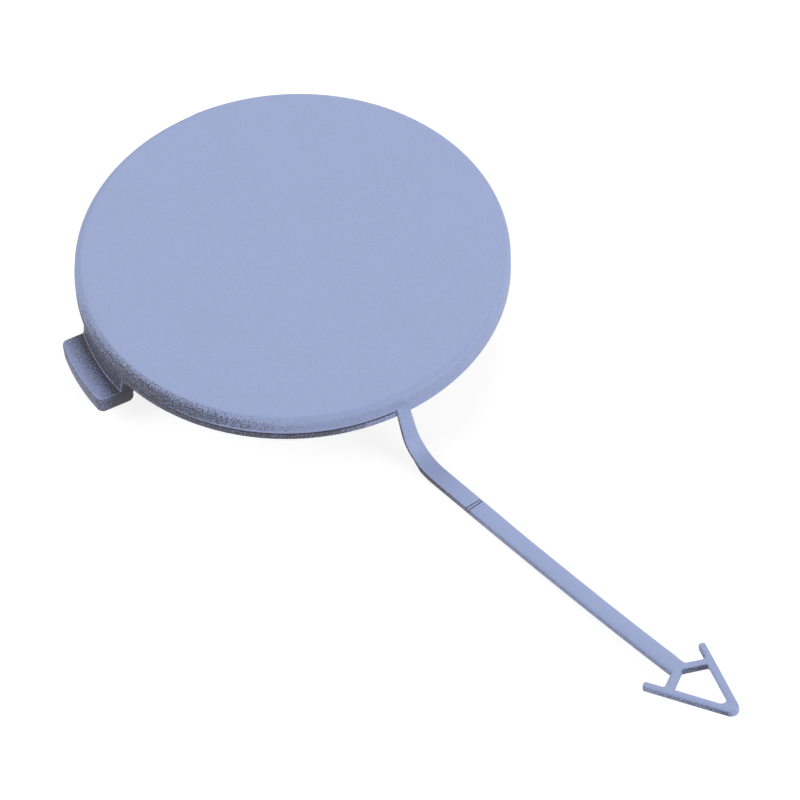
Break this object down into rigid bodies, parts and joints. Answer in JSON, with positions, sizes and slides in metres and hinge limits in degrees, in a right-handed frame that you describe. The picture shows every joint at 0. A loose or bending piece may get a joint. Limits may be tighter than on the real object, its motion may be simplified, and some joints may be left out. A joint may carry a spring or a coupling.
{
  "type": "bumper tow hook cover",
  "caption": "Round painted cover for a bumper's tow hook opening, with a locating lug, a snap tongue and a thin flexible retaining strap ending in an open arrow anchor",
  "frame": {"origin": "bottom centre of the whole cover's bounding box, strap included", "axes": "+Y from the arrow anchor toward the round plate, along the longest extent; +Z out of the visible painted face; the lug is toward -X"},
  "size_m": [0.079, 0.1524, 0.0143],
  "materials": {
    "paint": "satin metallic car paint over moulded plastic"
  },
  "bodies": {
    "root": {"tow_hook_cover": "paint"}
  },
  "joints": []
}
